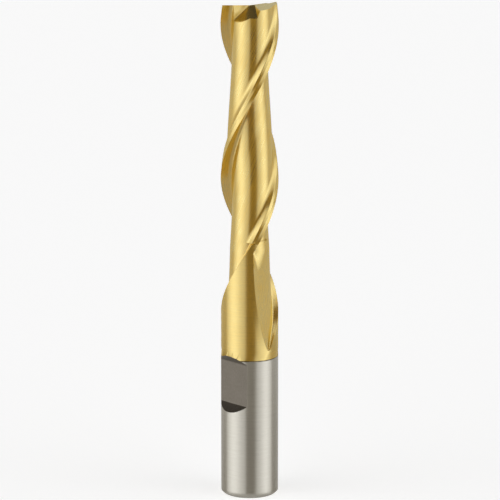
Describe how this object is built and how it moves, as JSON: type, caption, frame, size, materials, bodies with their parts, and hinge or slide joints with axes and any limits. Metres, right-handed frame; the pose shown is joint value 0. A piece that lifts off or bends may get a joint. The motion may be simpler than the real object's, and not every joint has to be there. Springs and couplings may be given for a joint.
{
  "type": "end mill",
  "caption": "Helical-flute centre-cutting end mill with a gold-coated cutting end and a plain ground shank with a set-screw flat.",
  "frame": {"origin": "centre of the shank's end face, on the tool axis", "axes": "+Z along the tool axis from the shank to the cutting end; -Y is the outward normal of the shank's set-screw flat"},
  "size_m": [0.0096, 0.0096, 0.0825],
  "materials": {
    "titanium_nitride_coating": "satin gold titanium nitride film over ground high-speed steel",
    "ground_steel": "fine cylindrical-ground plain steel"
  },
  "bodies": {
    "root": {"fluted_cutter": "titanium_nitride_coating", "weldon_shank": "ground_steel"}
  },
  "joints": []
}
